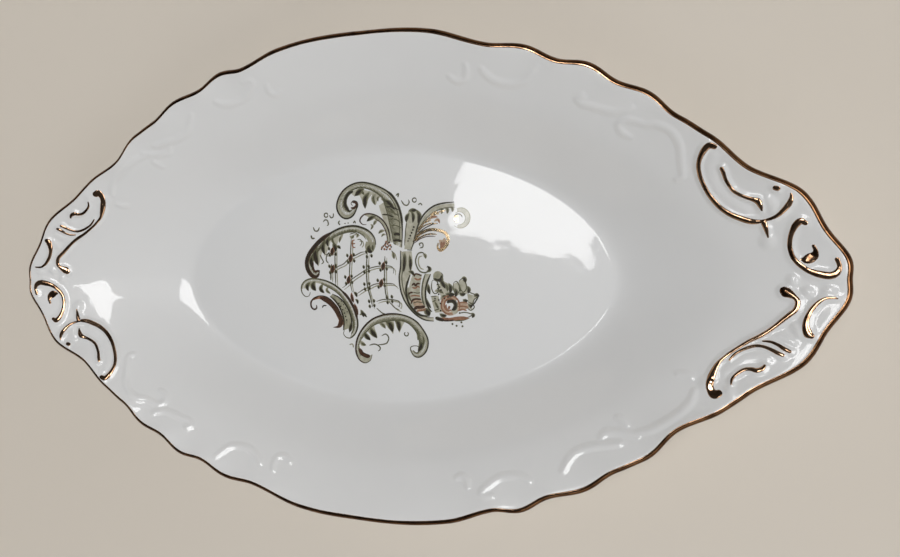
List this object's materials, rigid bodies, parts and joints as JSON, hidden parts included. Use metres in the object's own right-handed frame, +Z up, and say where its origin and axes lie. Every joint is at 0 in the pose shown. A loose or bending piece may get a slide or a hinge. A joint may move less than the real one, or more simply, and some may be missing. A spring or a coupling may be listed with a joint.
{
  "type": "gravy boat underplate",
  "caption": "Pointed oval porcelain underplate with scalloped gilded rim, gilded scroll relief at both ends, scrollwork print on the floor and a foot ring.",
  "frame": {"origin": "centre of the foot ring, on the table plane", "axes": "+Z up out of the dish, +X along the length, +Y across the width"},
  "size_m": [0.2296, 0.1304, 0.024],
  "materials": {
    "porcelain": "gloss glaze, bare on the foot ring's resting face",
    "gold": "fired gold, polished, slightly worn",
    "print_olive": "gloss underglaze print",
    "print_brown": "gloss underglaze print"
  },
  "bodies": {
    "root": {"porcelain_body": "porcelain", "rim_gilding": "gold", "right_upper_gilding": "gold", "right_lower_gilding": "gold", "left_lower_gilding": "gold", "left_upper_gilding": "gold", "print_scrolls": "print_olive", "print_trellis": "print_olive", "print_plumes": "gold", "print_crescent": "print_brown", "print_basket": "print_brown", "print_bouquet": "print_brown"}
  },
  "joints": []
}
